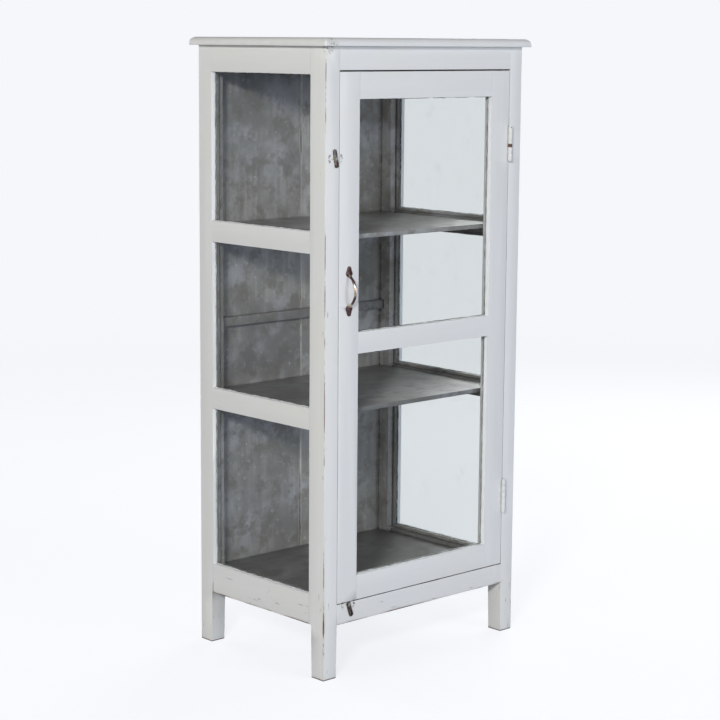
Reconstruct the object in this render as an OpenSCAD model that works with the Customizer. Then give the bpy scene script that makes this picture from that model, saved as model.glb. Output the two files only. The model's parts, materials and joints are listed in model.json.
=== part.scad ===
// Glazed apothecary cabinet on four legs.
// Four posts are joined by mortised rails.  The sides and the door are glazed, the back is boarded.
// One framed door hangs on two butt hinges at the right and is kept shut by two turn buttons.
// X runs to the right, Y to the back, Z up.  The origin is the bottom centre of the whole box.

/* [Cabinet] */
// Width over the side frames
body_w = 604; // [500:1:760]
// Depth over the posts
body_d = 430; // [340:1:560]
// Height from the floor to the underside of the top board
body_h = 1380; // [1150:1:1700]

/* [Top board] */
// Thickness of the top board
top_t = 18; // [14:0.5:28]
// How far the top board stands out on all four sides
top_overhang = 16; // [8:0.5:30]
// Radius of the rounded upper edge of the top board
top_round = 10; // [4:0.5:13]

/* [Posts and legs] */
// Width of every post, seen from the front
post_w = 39; // [32:0.5:48]
// Depth of the front posts, seen from the side
front_post_d = 49; // [40:0.5:60]
// Depth of the rear posts, seen from the side
rear_post_d = 45; // [37:0.5:56]
// Height of the legs below the bottom rails
leg_h = 120; // [80:1:180]
// Depth of a leg just below the bottom rails
leg_d = 41; // [30:0.5:48]
// How much a leg narrows on its two inner faces down to the floor
leg_taper = 2; // [0:0.5:6]

/* [Side frames] */
// Thickness of the side rails
side_rail_t = 33; // [27:0.5:36]
// Height of the top rail
side_top_rail_h = 59; // [40:1:80]
// Height of the two middle rails
side_mid_rail_h = 48; // [38:1:70]
// Height of the bottom rail
side_bottom_rail_h = 68; // [50:1:90]
// Height of the lower middle rail's underside above the floor
lower_rail_z = 556; // [420:1:700]
// Height of the upper middle rail's underside above the floor
upper_rail_z = 940; // [780:1:1020]

/* [Front and rear frames] */
// Height of the rail above the door
front_top_rail_h = 50; // [40:1:70]
// Height of the rail below the door
front_bottom_rail_h = 46; // [36:1:60]
// Height of the rear top rail
rear_top_rail_h = 50; // [36:1:70]
// Thickness of the rear rails
rear_rail_t = 22; // [18:0.5:30]

/* [Door] */
// Thickness of the door frame
door_t = 22; // [20:0.5:28]
// Gap at both sides of the door and below it
door_gap = 1.5; // [1:0.1:3]
// Gap above the door
door_top_gap = 3; // [1:0.1:5]
// Gap between the shut door and its stop
stop_gap = 1; // [0.5:0.1:2]
// Width of the door stiles
door_stile_w = 57; // [45:0.5:75]
// Height of the door's top rail
door_top_rail_h = 58; // [40:1:80]
// Height of the door's middle rail
door_mid_rail_h = 47; // [38:1:70]
// Height of the door's bottom rail
door_bottom_rail_h = 56; // [40:1:80]
// Height of the middle rail's underside above the floor
door_mid_rail_z = 720; // [560:1:860]

/* [Glazing] */
// Thickness of the glass
glass_t = 3; // [2:0.5:4]
// Depth of the glass behind the outer face
glass_setback = 11; // [8:0.5:12]
// Width of the rebate that the glass sits in
rebate_w = 7; // [5:0.5:9]
// Depth of the beads behind the side panes
bead_d = 9; // [6:0.5:12]
// Gap round the edge of each pane
glass_gap = 1; // [0.5:0.1:1.5]

/* [Back] */
// Thickness of the back boards
back_board_t = 6; // [5:0.5:10]
// Width of the rebate in the rear posts that the boards sit in
back_rebate_w = 8; // [5:0.5:11]
// Gap between two back boards
back_board_gap = 1; // [0.5:0.1:2]
// Height of the batten across the back boards
batten_h = 21; // [15:0.5:40]
// Thickness of the batten
batten_t = 12; // [8:0.5:20]
// Height of the batten's underside above the floor
batten_z = 736.5; // [640:0.5:820]

/* [Shelves] */
// Thickness of the two shelves
shelf_t = 10; // [8:0.5:16]
// Depth of the shelves' front edges behind the front of the cabinet
shelf_setback = 30; // [27:0.5:60]
// Depth of a shelf's top below the top of its side rail
shelf_drop = 11; // [6:0.5:14]
// Thickness of the floor board
floor_t = 12; // [10:0.5:18]
// Depth of the floor board's top below the top of the bottom side rail
floor_drop = 15; // [12:0.5:24]
// Width and height of the cleats below the shelves and the floor board
cleat_s = 15; // [10:0.5:18]
// Gap between the shelves and the posts they are notched around
notch_gap = 0.5; // [0.3:0.1:2]

/* [Door stop] */
// How far the stop reaches down behind the door's top edge
stop_lap = 8; // [4:0.5:15]
// Height of the stop
stop_h = 24; // [18:0.5:40]
// Thickness of the stop
stop_t = 12; // [8:0.5:20]

/* [Joinery] */
// Length of the tenons on the side rails
side_tenon_l = 24; // [15:0.5:26]
// Length of the tenons on the front and rear rails
cross_tenon_l = 16; // [10:0.5:16]
// Length of the tenons on the door rails
door_tenon_l = 32; // [20:0.5:40]
// Thickness of every tenon
tenon_t = 8; // [6:0.5:9]
// Height of the shoulders above and below a tenon
tenon_shoulder = 10; // [9:0.5:12]
// Glue gap round a tenon
tenon_gap = 0.1; // [0.1:0.05:0.3]
// Diameter of the dowels between the posts and the top board
dowel_dia = 8; // [6:0.5:10]
// Length of the dowels
dowel_l = 36; // [24:1:44]

/* [Hinges] */
// Length of a hinge
hinge_l = 76; // [50:1:100]
// Diameter of the hinge knuckles
knuckle_dia = 9; // [8:0.5:11]
// Diameter of the hinge pin
pin_dia = 4.8; // [4:0.1:5.5]
// Radial clearance of the pin in the knuckles
pin_clearance = 0.05; // [0.02:0.01:0.1]
// Thickness of a hinge leaf
leaf_t = 1.8; // [1.2:0.1:2]
// Gap between the two leaves of a shut hinge
leaf_gap = 0.7; // [0.5:0.1:0.9]
// How deep a leaf reaches behind the front of the cabinet
leaf_reach = 19; // [15:0.5:20]
// Distance from each hinge to the near end of the door
hinge_inset = 128; // [90:1:160]
// Clearance round a leaf in its recess, and between neighbouring knuckles
leaf_clearance = 0.2; // [0.1:0.05:0.3]

/* [Pull handle] */
// Height of the handle's centre above the floor
pull_z = 859; // [820:1:900]
// Overall length of the handle
pull_l = 109; // [90:1:130]
// Distance between the feet of the bow
bow_span = 68; // [56:1:74]
// How far the middle of the bow stands off its feet
bow_rise = 20; // [14:0.5:24]
// Diameter of the bow
bow_dia = 6.4; // [5:0.1:8]
// Thickness of the end plates
plate_t = 2.5; // [1.5:0.1:4]
// Width of the end plates
plate_w = 19; // [14:0.5:24]

/* [Turn buttons] */
// Length of the upper button
upper_button_l = 41; // [34:0.5:46]
// Length of the lower button
lower_button_l = 35; // [30:0.5:40]
// Width of the buttons
button_w = 11; // [9:0.5:13]
// Thickness of the buttons
button_t = 3.2; // [2.5:0.1:5]
// Gap between a button and the face behind it
button_gap = 0.4; // [0.3:0.1:1]
// Distance from the inner edge of the left post to the upper button's screw
upper_button_inset = 11; // [10:0.5:12]
// Distance from the door's top edge down to the upper button's screw
upper_button_drop = 182; // [120:1:260]
// Slant of the upper button from upright
upper_button_slant = 10.5; // [0:0.5:12]
// Distance from the inner edge of the left post to the lower button's screw
lower_button_offset = 34; // [24:0.5:80]
// Slant of the lower button from upright
lower_button_slant = 18.5; // [0:0.5:25]

/* [Screws and nails] */
// Diameter of the wood screws
screw_dia = 3.6; // [3:0.1:4]
// Diameter of their countersunk heads
screw_head_dia = 7.2; // [6:0.1:8]
// Length of the wood screws
screw_l = 16; // [12:0.5:16]
// Diameter of the turn buttons' screws
button_screw_dia = 4; // [3.5:0.1:4.5]
// Diameter of their round heads
button_head_dia = 8; // [7:0.5:10]
// Height of their round heads
button_head_h = 1.8; // [1.2:0.1:3]
// Running clearance of a button on its screw
button_clearance = 0.08; // [0.04:0.01:0.1]
// Diameter of the nails in the back boards
nail_dia = 2; // [1.4:0.1:3]
// Diameter of the nail heads
nail_head_dia = 5; // [4:0.5:7]
// Length of the nails
nail_l = 20; // [14:0.5:24]

/* [Hidden] */
$fn = 48;

WHITE_PAINT = [0.84, 0.85, 0.84];
GREY_PAINT = [0.42, 0.42, 0.43];
GLASS = [0.78, 0.88, 0.88, 0.35];
BRONZE = [0.36, 0.22, 0.14];
STEEL = [0.55, 0.55, 0.55];
PALE_WOOD = [0.76, 0.62, 0.44];

// A cut runs this far past the face it opens.
PAST = 1;

// Frame faces, measured from the front left corner at the floor
side_open_front = front_post_d;
side_open_rear = body_d - rear_post_d;
back_face = body_d - back_board_t;
rear_rail_front = back_face - rear_rail_t;
front_rail_t = door_t + stop_gap;

// Side rails and the three openings between them, each as [underside, top]
bottom_rail_span = [leg_h, leg_h + side_bottom_rail_h];
lower_rail_span = [lower_rail_z, lower_rail_z + side_mid_rail_h];
upper_rail_span = [upper_rail_z, upper_rail_z + side_mid_rail_h];
top_rail_span = [body_h - side_top_rail_h, body_h];
SIDE_RAILS = [bottom_rail_span, lower_rail_span, upper_rail_span, top_rail_span];
SIDE_OPENINGS = [for (i = [0 : 2]) [SIDE_RAILS[i][1], SIDE_RAILS[i + 1][0]]];

// Boards inside
upper_shelf_top = upper_rail_span[1] - shelf_drop;
lower_shelf_top = lower_rail_span[1] - shelf_drop;
floor_top = bottom_rail_span[1] - floor_drop;
floor_underside = floor_top - floor_t;
front_top_span = [body_h - front_top_rail_h, body_h];
front_bottom_span = [leg_h, leg_h + front_bottom_rail_h];
rear_top_span = [body_h - rear_top_rail_h, body_h];
rear_bottom_span = [leg_h, floor_underside];

// Door, its rails and the two openings between them
door_left = post_w + door_gap;
door_right = body_w - post_w - door_gap;
door_bottom = front_bottom_span[1] + door_gap;
door_top = front_top_span[0] - door_top_gap;
DOOR_RAILS = [
    [door_bottom, door_bottom + door_bottom_rail_h],
    [door_mid_rail_z, door_mid_rail_z + door_mid_rail_h],
    [door_top - door_top_rail_h, door_top]
];
DOOR_OPENINGS = [for (i = [0 : 1]) [DOOR_RAILS[i][1], DOOR_RAILS[i + 1][0]]];
door_open_left = door_left + door_stile_w;
door_open_right = door_right - door_stile_w;

// Distance of each tenon from its rail's outer face
door_tenon_y = (glass_setback - tenon_t) / 2 + 1;
side_tenon_x = glass_setback - 1;
cross_tenon_y = 6;

// Each dowel stands in the middle of the post's solid corner, outside its mortises.
dowel_x = (post_w - cross_tenon_l) / 2;
dowel_y = (min(front_post_d, rear_post_d) - side_tenon_l) / 2;

// Hinges
knuckle_r = knuckle_dia / 2;
hinge_x = body_w - post_w - door_gap / 2;
hinge_y = -knuckle_r - 0.5;
upper_hinge_z = door_top - hinge_inset - hinge_l / 2;
lower_hinge_z = door_bottom + hinge_inset + hinge_l / 2;
HINGES = [upper_hinge_z, lower_hinge_z];
KNUCKLES = 5;
knuckle_pitch = hinge_l / KNUCKLES;
leaf_front = knuckle_r + leaf_clearance;
leaf_back = leaf_reach - hinge_y;
SCREW_ROWS = [-0.36, 0, 0.36];

// Pull handle
pull_x = door_left + door_stile_w / 2;
bow_r = (bow_span * bow_span / 4 + bow_rise * bow_rise) / (2 * bow_rise);
bow_half_angle = asin(bow_span / 2 / bow_r);
pull_screw_offset = pull_l / 2 - plate_w * 0.6;
pull_reach = plate_t / 2 + bow_rise + bow_dia / 2;

// Turn buttons, each pivot as [x, z]
upper_pivot = [post_w - upper_button_inset, door_top - upper_button_drop];
lower_pivot = [post_w + lower_button_offset, door_bottom - 0.6 - button_w / 2];
button_front = -button_gap - button_t;

// The shift from the front left corner to the bottom centre of the whole box
front_reach = max(top_overhang, pull_reach, knuckle_r - hinge_y);
ORIGIN = [body_w / 2, (body_d + top_overhang - front_reach) / 2, 0];

// ---------- shared shapes ----------

// Moves a piece from the front left corner's frame to the cabinet's own frame.
module place() {
    translate(-ORIGIN) children();
}

// Turns a piece of the left side into its twin on the right.
module twin() {
    translate([body_w, 0, 0]) mirror([1, 0, 0]) children();
}

// Turns a piece at the front into its twin at the back.
module behind() {
    translate([0, body_d, 0]) mirror([0, 1, 0]) children();
}

// A block between two opposite corners.
module block(low, high) {
    translate(low) cube(high - low);
}

// A rod that runs from a point towards the back.
module rod_back(dia, length) {
    rotate([-90, 0, 0]) cylinder(d = dia, h = length);
}

// A countersunk wood screw that starts at its head and runs along +X.
module wood_screw() {
    head_h = (screw_head_dia - screw_dia) / 2;
    rotate([0, 90, 0]) {
        cylinder(d1 = screw_head_dia, d2 = screw_dia, h = head_h);
        cylinder(d = screw_dia, h = screw_l);
    }
}

// ---------- posts and rails ----------

// A post whose outer corner is at the front left, with its leg set back on the inner side.
module post_blank(depth) {
    intersection() {
        translate([0, depth, 0]) rotate([90, 0, 0]) linear_extrude(depth)
            polygon([[0, 0], [post_w - leg_taper, 0], [post_w, leg_h], [post_w, body_h], [0, body_h]]);
        rotate([90, 0, 90]) linear_extrude(post_w) polygon([
            [0, 0], [leg_d - leg_taper, 0], [leg_d, leg_h],
            [depth, leg_h], [depth, body_h], [0, body_h]
        ]);
    }
}

// The rebates for the three panes of the left side.
module side_rebates() {
    for (span = SIDE_OPENINGS)
        block(
            [glass_setback, side_open_front - rebate_w, span[0] - rebate_w],
            [post_w + PAST, side_open_rear + rebate_w, span[1] + rebate_w]
        );
}

// The tenons at both ends of a left side rail, grown by a gap for their mortises.
module side_tenons(span, gap = 0) {
    block(
        [side_tenon_x - gap, side_open_front - side_tenon_l - gap, span[0] + tenon_shoulder - gap],
        [side_tenon_x + tenon_t + gap, side_open_rear + side_tenon_l + gap, span[1] - tenon_shoulder + gap]
    );
}

// The tenons at both ends of a front or rear rail whose outer face is at y.
module cross_tenons(y, span, gap = 0) {
    block(
        [post_w - cross_tenon_l - gap, y + cross_tenon_y - gap, span[0] + tenon_shoulder - gap],
        [body_w - post_w + cross_tenon_l + gap, y + cross_tenon_y + tenon_t + gap,
            span[1] - tenon_shoulder + gap]
    );
}

// The dowel in the top of the front left post.
module corner_dowel() {
    translate([dowel_x, dowel_y, body_h - dowel_l * 2 / 3])
        cylinder(d = dowel_dia, h = dowel_l);
}

module front_left_blank() {
    difference() {
        post_blank(front_post_d);
        side_rebates();
        for (span = SIDE_RAILS) side_tenons(span, tenon_gap);
        for (span = [front_bottom_span, front_top_span]) cross_tenons(0, span, tenon_gap);
        corner_dowel();
    }
}

module rear_left_blank() {
    difference() {
        behind() post_blank(rear_post_d);
        side_rebates();
        for (span = SIDE_RAILS) side_tenons(span, tenon_gap);
        for (span = [rear_bottom_span, rear_top_span]) cross_tenons(rear_rail_front, span, tenon_gap);
        behind() corner_dowel();
        block([post_w - back_rebate_w, back_face, leg_h], [post_w + PAST, body_d + PAST, body_h + PAST]);
    }
}

module front_left_post() {
    color(WHITE_PAINT) place() difference() {
        front_left_blank();
        translate([upper_pivot[0], 0, upper_pivot[1]]) rod_back(button_screw_dia, screw_l);
    }
}

module front_right_post() {
    color(WHITE_PAINT) place() difference() {
        twin() front_left_blank();
        for (z = HINGES) at_hinge(z) {
            leaf_recess();
            leaf_screws();
        }
    }
}

module rear_post(right = false) {
    color(WHITE_PAINT) place() if (right) twin() rear_left_blank(); else rear_left_blank();
}

module side_rail_blank(span) {
    difference() {
        union() {
            block([0, side_open_front, span[0]], [side_rail_t, side_open_rear, span[1]]);
            side_tenons(span);
        }
        side_rebates();
    }
}

module side_rail(span, right = false) {
    color(WHITE_PAINT) place() if (right) twin() side_rail_blank(span); else side_rail_blank(span);
}

module front_rail(span) {
    color(WHITE_PAINT) place() difference() {
        union() {
            block([post_w, 0, span[0]], [body_w - post_w, front_rail_t, span[1]]);
            cross_tenons(0, span);
        }
        translate([lower_pivot[0], 0, lower_pivot[1]]) rod_back(button_screw_dia, screw_l);
    }
}

module rear_rail(span) {
    color(GREY_PAINT) place() difference() {
        union() {
            block([post_w, rear_rail_front, span[0]], [body_w - post_w, back_face, span[1]]);
            cross_tenons(rear_rail_front, span);
        }
        nails();
    }
}

// ---------- top board ----------

// The waste above a rounded edge that runs along X.
module edge_waste(length) {
    translate([0, 0, -top_round]) difference() {
        block([-PAST, -PAST, 0], [length + PAST, top_round, top_round + PAST]);
        translate([-2 * PAST, top_round, 0]) rotate([0, 90, 0])
            cylinder(r = top_round, h = length + 4 * PAST);
    }
}

module top_board() {
    width = body_w + 2 * top_overhang;
    depth = body_d + 2 * top_overhang;
    color(WHITE_PAINT) place() difference() {
        translate([-top_overhang, -top_overhang, body_h]) difference() {
            cube([width, depth, top_t]);
            translate([0, 0, top_t]) {
                edge_waste(width);
                translate([width, depth, 0]) rotate([0, 0, 180]) edge_waste(width);
                translate([width, 0, 0]) rotate([0, 0, 90]) edge_waste(depth);
                translate([0, depth, 0]) rotate([0, 0, -90]) edge_waste(depth);
            }
        }
        all_dowels();
    }
}

module all_dowels() {
    corner_dowel();
    twin() corner_dowel();
    behind() corner_dowel();
    twin() behind() corner_dowel();
}

module top_dowels() {
    color(PALE_WOOD) place() all_dowels();
}

module door_stop() {
    low = door_top - stop_lap;
    color(GREY_PAINT) place()
        block([post_w, front_rail_t, low], [body_w - post_w, front_rail_t + stop_t, low + stop_h]);
}

// ---------- back ----------

BOARDS = 4;
back_left = post_w - back_rebate_w + back_board_gap;
board_pitch = (body_w - 2 * back_left + back_board_gap) / BOARDS;
board_w = board_pitch - back_board_gap;

function board_x(i) = back_left + i * board_pitch;

// Two nails through each end of every board, into the rear rails.
module nails() {
    for (i = [0 : BOARDS - 1], side = [0.2, 0.8])
        for (z = [(rear_bottom_span[0] + rear_bottom_span[1]) / 2, (rear_top_span[0] + rear_top_span[1]) / 2])
            translate([board_x(i) + side * board_w, body_d - nail_l, z]) {
                rod_back(nail_dia, nail_l);
                translate([0, nail_l - 1, 0]) rod_back(nail_head_dia, 1);
            }
}

module back_board(i) {
    color(GREY_PAINT) place() difference() {
        block([board_x(i), back_face, leg_h], [board_x(i) + board_w, body_d, body_h]);
        nails();
    }
}

module back_batten() {
    color(GREY_PAINT) place()
        block([post_w, back_face - batten_t, batten_z], [body_w - post_w, back_face, batten_z + batten_h]);
}

module back_nails() {
    color(STEEL) place() nails();
}

// ---------- shelves ----------

// A board between the side rails, notched around the posts.
module notched_board(front, top, thickness) {
    difference() {
        block([side_rail_t, front, top - thickness], [body_w - side_rail_t, back_face, top]);
        for (x = [0, body_w - post_w - notch_gap])
            for (y = [[-PAST, front_post_d + notch_gap], [side_open_rear - notch_gap, body_d]])
                block([x, y[0], top - thickness - PAST], [x + post_w + notch_gap, y[1], top + PAST]);
    }
}

module shelf(top) {
    color(GREY_PAINT) place() notched_board(shelf_setback, top, shelf_t);
}

module floor_board() {
    color(GREY_PAINT) place() notched_board(front_rail_t, floor_top, floor_t);
}

// A cleat on the inner face of the left side rail, and its twin on the right.
module cleat_pair(top) {
    color(GREY_PAINT) place() {
        left_cleat(top);
        twin() left_cleat(top);
    }
}

module left_cleat(top) {
    block(
        [side_rail_t, side_open_front + notch_gap, top - cleat_s],
        [side_rail_t + cleat_s, min(side_open_rear, rear_rail_front) - notch_gap, top]
    );
}

module shelf_cleats() {
    cleat_pair(upper_shelf_top - shelf_t);
    cleat_pair(lower_shelf_top - shelf_t);
}

module floor_cleats() {
    cleat_pair(floor_underside);
}

// ---------- glazing ----------

module side_pane_blank(span) {
    edge = rebate_w - glass_gap;
    block(
        [glass_setback, side_open_front - edge, span[0] - edge],
        [glass_setback + glass_t, side_open_rear + edge, span[1] + edge]
    );
}

module side_pane(i, right = false) {
    color(GLASS) place() if (right) twin() side_pane_blank(SIDE_OPENINGS[i]);
    else side_pane_blank(SIDE_OPENINGS[i]);
}

// Four beads round a flat opening, as [left, right] and [bottom, top], in the XZ plane.
module bead_frame(across, up, y, depth) {
    for (x = [across[0] - rebate_w, across[1]])
        block([x, y, up[0] - rebate_w], [x + rebate_w, y + depth, up[1] + rebate_w]);
    for (z = [up[0] - rebate_w, up[1]])
        block([across[0], y, z], [across[1], y + depth, z + rebate_w]);
}

module left_beads() {
    for (span = SIDE_OPENINGS)
        rotate([0, 0, 90]) mirror([0, 1, 0])
            bead_frame([side_open_front, side_open_rear], span, glass_setback + glass_t, bead_d);
}

module glazing_beads(right = false) {
    color(GREY_PAINT) place() if (right) twin() left_beads(); else left_beads();
}

// ---------- door ----------

module door_rebates() {
    for (span = DOOR_OPENINGS)
        block(
            [door_open_left - rebate_w, glass_setback, span[0] - rebate_w],
            [door_open_right + rebate_w, door_t + PAST, span[1] + rebate_w]
        );
}

module door_tenons(span, gap = 0) {
    block(
        [door_open_left - door_tenon_l - gap, door_tenon_y - gap, span[0] + tenon_shoulder - gap],
        [door_open_right + door_tenon_l + gap, door_tenon_y + tenon_t + gap, span[1] - tenon_shoulder + gap]
    );
}

module stile_blank(x) {
    difference() {
        block([x, 0, door_bottom], [x + door_stile_w, door_t, door_top]);
        door_rebates();
        for (span = DOOR_RAILS) door_tenons(span, tenon_gap);
    }
}

module door_lock_stile() {
    color(WHITE_PAINT) place() difference() {
        stile_blank(door_left);
        pull_screw_pair();
    }
}

module door_hinge_stile() {
    color(WHITE_PAINT) place() difference() {
        stile_blank(door_right - door_stile_w);
        for (z = HINGES) at_hinge(z) mirror([1, 0, 0]) {
            leaf_recess();
            leaf_screws();
        }
    }
}

module door_rail(i) {
    span = DOOR_RAILS[i];
    color(WHITE_PAINT) place() difference() {
        union() {
            block([door_open_left, 0, span[0]], [door_open_right, door_t, span[1]]);
            door_tenons(span);
        }
        door_rebates();
    }
}

module door_pane(i) {
    edge = rebate_w - glass_gap;
    span = DOOR_OPENINGS[i];
    color(GLASS) place() block(
        [door_open_left - edge, glass_setback, span[0] - edge],
        [door_open_right + edge, glass_setback + glass_t, span[1] + edge]
    );
}

module door_glazing_beads() {
    back = glass_setback + glass_t;
    color(GREY_PAINT) place() for (span = DOOR_OPENINGS)
        bead_frame([door_open_left, door_open_right], span, back, door_t - back);
}

// ---------- pull handle ----------

module pull_screw_pair() {
    for (side = [-1, 1])
        translate([pull_x, -plate_t, pull_z + side * pull_screw_offset]) rotate([0, 0, 90]) wood_screw();
}

// A pointed end plate that stands above the handle's centre, with a neck down to the bow's foot.
module end_plate() {
    tip = pull_l / 2;
    foot = bow_span / 2 - bow_dia / 2;
    rotate([90, 0, 0]) linear_extrude(plate_t) {
        translate([0, pull_screw_offset]) circle(d = plate_w);
        polygon([[-plate_w * 0.4, pull_screw_offset + plate_w * 0.3], [0, tip],
            [plate_w * 0.4, pull_screw_offset + plate_w * 0.3]]);
        translate([-bow_dia * 0.6, foot]) square([bow_dia * 1.2, pull_screw_offset - foot]);
    }
}

// The bow is part of a ring whose centre lies behind the door's face.
module bow() {
    translate([0, bow_r - bow_rise - plate_t / 2, 0]) rotate([0, -90, 0])
        rotate([0, 0, 180 + 90 - bow_half_angle])
            rotate_extrude(angle = 2 * bow_half_angle) translate([bow_r, 0]) circle(d = bow_dia);
}

module door_pull() {
    color(BRONZE) place() difference() {
        translate([pull_x, 0, pull_z]) {
            end_plate();
            mirror([0, 0, 1]) end_plate();
            difference() {
                bow();
                block([-bow_dia, 0, -pull_l], [bow_dia, bow_dia, pull_l]);
            }
        }
        pull_screw_pair();
    }
}

module pull_screws() {
    color(STEEL) place() pull_screw_pair();
}

// ---------- hinges ----------

// Moves a hinge, made about its own pin, to its place.
module at_hinge(z) {
    translate([hinge_x, hinge_y, z]) children();
}

// The recess in the post for a leaf.
module leaf_recess() {
    gap = leaf_clearance;
    block([0, -hinge_y - PAST, -hinge_l / 2 - gap], [leaf_gap / 2 + leaf_t, leaf_back + gap, hinge_l / 2 + gap]);
}

// The three screws of a leaf, run into the post.
module leaf_screws() {
    for (row = SCREW_ROWS)
        translate([leaf_gap / 2, (leaf_front + leaf_back) / 2 + 2, row * hinge_l]) wood_screw();
}

// A leaf beside its pin, with every second knuckle starting from the first one given.
module leaf(first) {
    difference() {
        union() {
            block([leaf_gap / 2, leaf_front, -hinge_l / 2], [leaf_gap / 2 + leaf_t, leaf_back, hinge_l / 2]);
            for (i = [first : 2 : KNUCKLES - 1]) translate([0, 0, i * knuckle_pitch - hinge_l / 2]) {
                low = i == 0 ? 0 : leaf_clearance / 2;
                high = knuckle_pitch - (i == KNUCKLES - 1 ? 0 : leaf_clearance / 2);
                block([leaf_gap / 2, 0, low], [leaf_gap / 2 + leaf_t, leaf_front + PAST, high]);
                translate([0, 0, low]) cylinder(r = knuckle_r, h = high - low);
            }
        }
        translate([0, 0, -hinge_l]) cylinder(d = pin_dia + 2 * pin_clearance, h = 2 * hinge_l);
        leaf_screws();
    }
}

module frame_leaf(z) {
    color(WHITE_PAINT) place() at_hinge(z) leaf(0);
}

module door_leaf(z) {
    color(WHITE_PAINT) place() at_hinge(z) mirror([1, 0, 0]) leaf(1);
}

module hinge_pin(z) {
    tip_h = 2;
    color(WHITE_PAINT) place() at_hinge(z) {
        translate([0, 0, -hinge_l / 2]) cylinder(d = pin_dia, h = hinge_l);
        translate([0, 0, hinge_l / 2]) cylinder(d = knuckle_dia - 1, h = tip_h);
        translate([0, 0, -hinge_l / 2 - tip_h]) cylinder(d = knuckle_dia - 1, h = tip_h);
    }
}

module hinge_frame_screws() {
    color(STEEL) place() for (z = HINGES) at_hinge(z) leaf_screws();
}

module hinge_door_screws() {
    color(STEEL) place() for (z = HINGES) at_hinge(z) mirror([1, 0, 0]) leaf_screws();
}

// ---------- turn buttons ----------

// A bar with round ends on a screw hole, hanging down by drop and up by rise, slanted to the left.
module turn_button(pivot, drop, rise, slant) {
    end_r = button_w / 2;
    color(BRONZE) place()
        translate([pivot[0], -button_gap, pivot[1]]) rotate([0, -slant, 0])
            rotate([90, 0, 0]) linear_extrude(button_t) difference() {
                union() {
                    translate([-end_r, end_r - drop]) square([button_w, drop + rise - button_w]);
                    translate([0, end_r - drop]) circle(end_r);
                    translate([0, rise - end_r]) circle(end_r);
                }
                circle(d = button_screw_dia + 2 * button_clearance);
            }
}

module upper_turn_button() {
    turn_button(upper_pivot, upper_button_l / 2, upper_button_l / 2, upper_button_slant);
}

module lower_turn_button() {
    turn_button(lower_pivot, lower_button_l - button_w / 2, button_w / 2, lower_button_slant);
}

module button_screws() {
    head_gap = 0.1;
    color(STEEL) place() for (pivot = [upper_pivot, lower_pivot])
        translate([pivot[0], button_front - head_gap, pivot[1]]) {
            rod_back(button_screw_dia, screw_l - button_front + head_gap);
            translate([0, -button_head_h, 0]) rod_back(button_head_dia, button_head_h);
        }
}

front_left_post();
front_right_post();
rear_post();  // rear_left_post
rear_post(right = true);  // rear_right_post
front_rail(front_top_span);  // front_top_rail
front_rail(front_bottom_span);  // front_bottom_rail
rear_rail(rear_top_span);  // rear_top_rail
rear_rail(rear_bottom_span);  // rear_bottom_rail
side_rail(top_rail_span);  // left_top_rail
side_rail(upper_rail_span);  // left_upper_rail
side_rail(lower_rail_span);  // left_lower_rail
side_rail(bottom_rail_span);  // left_bottom_rail
side_rail(top_rail_span, right = true);  // right_top_rail
side_rail(upper_rail_span, right = true);  // right_upper_rail
side_rail(lower_rail_span, right = true);  // right_lower_rail
side_rail(bottom_rail_span, right = true);  // right_bottom_rail
top_board();
top_dowels();
door_stop();
back_board(0);  // back_board_1
back_board(1);  // back_board_2
back_board(2);  // back_board_3
back_board(3);  // back_board_4
back_batten();
back_nails();
shelf(upper_shelf_top);  // upper_shelf
shelf(lower_shelf_top);  // lower_shelf
floor_board();
shelf_cleats();
floor_cleats();
side_pane(2);  // left_upper_pane
side_pane(1);  // left_middle_pane
side_pane(0);  // left_lower_pane
side_pane(2, right = true);  // right_upper_pane
side_pane(1, right = true);  // right_middle_pane
side_pane(0, right = true);  // right_lower_pane
glazing_beads();  // left_glazing_beads
glazing_beads(right = true);  // right_glazing_beads
door_lock_stile();
door_hinge_stile();
door_rail(2);  // door_top_rail
door_rail(1);  // door_middle_rail
door_rail(0);  // door_bottom_rail
door_pane(1);  // door_upper_pane
door_pane(0);  // door_lower_pane
door_glazing_beads();
door_pull();
pull_screws();
frame_leaf(upper_hinge_z);  // upper_hinge_frame_leaf
door_leaf(upper_hinge_z);  // upper_hinge_door_leaf
hinge_pin(upper_hinge_z);  // upper_hinge_pin
frame_leaf(lower_hinge_z);  // lower_hinge_frame_leaf
door_leaf(lower_hinge_z);  // lower_hinge_door_leaf
hinge_pin(lower_hinge_z);  // lower_hinge_pin
hinge_frame_screws();
hinge_door_screws();
upper_turn_button();
lower_turn_button();
button_screws();
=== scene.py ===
import json
import math
import random
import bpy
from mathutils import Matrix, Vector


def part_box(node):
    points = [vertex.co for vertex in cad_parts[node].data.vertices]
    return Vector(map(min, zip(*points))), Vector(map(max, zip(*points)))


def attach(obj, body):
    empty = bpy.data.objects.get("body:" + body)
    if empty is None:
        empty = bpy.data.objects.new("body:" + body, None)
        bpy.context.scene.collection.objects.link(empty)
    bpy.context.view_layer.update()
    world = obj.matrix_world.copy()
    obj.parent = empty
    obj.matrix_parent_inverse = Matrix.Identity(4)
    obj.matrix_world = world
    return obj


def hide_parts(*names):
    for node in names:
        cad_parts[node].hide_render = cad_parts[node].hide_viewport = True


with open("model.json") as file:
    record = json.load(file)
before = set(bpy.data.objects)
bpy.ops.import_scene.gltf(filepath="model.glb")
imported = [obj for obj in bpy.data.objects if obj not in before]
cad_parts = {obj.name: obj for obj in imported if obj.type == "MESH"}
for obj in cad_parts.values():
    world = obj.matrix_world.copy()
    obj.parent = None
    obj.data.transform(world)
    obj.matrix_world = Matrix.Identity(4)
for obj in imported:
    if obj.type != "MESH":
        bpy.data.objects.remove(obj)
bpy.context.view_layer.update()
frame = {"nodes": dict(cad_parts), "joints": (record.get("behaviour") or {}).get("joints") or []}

from types import SimpleNamespace

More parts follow.
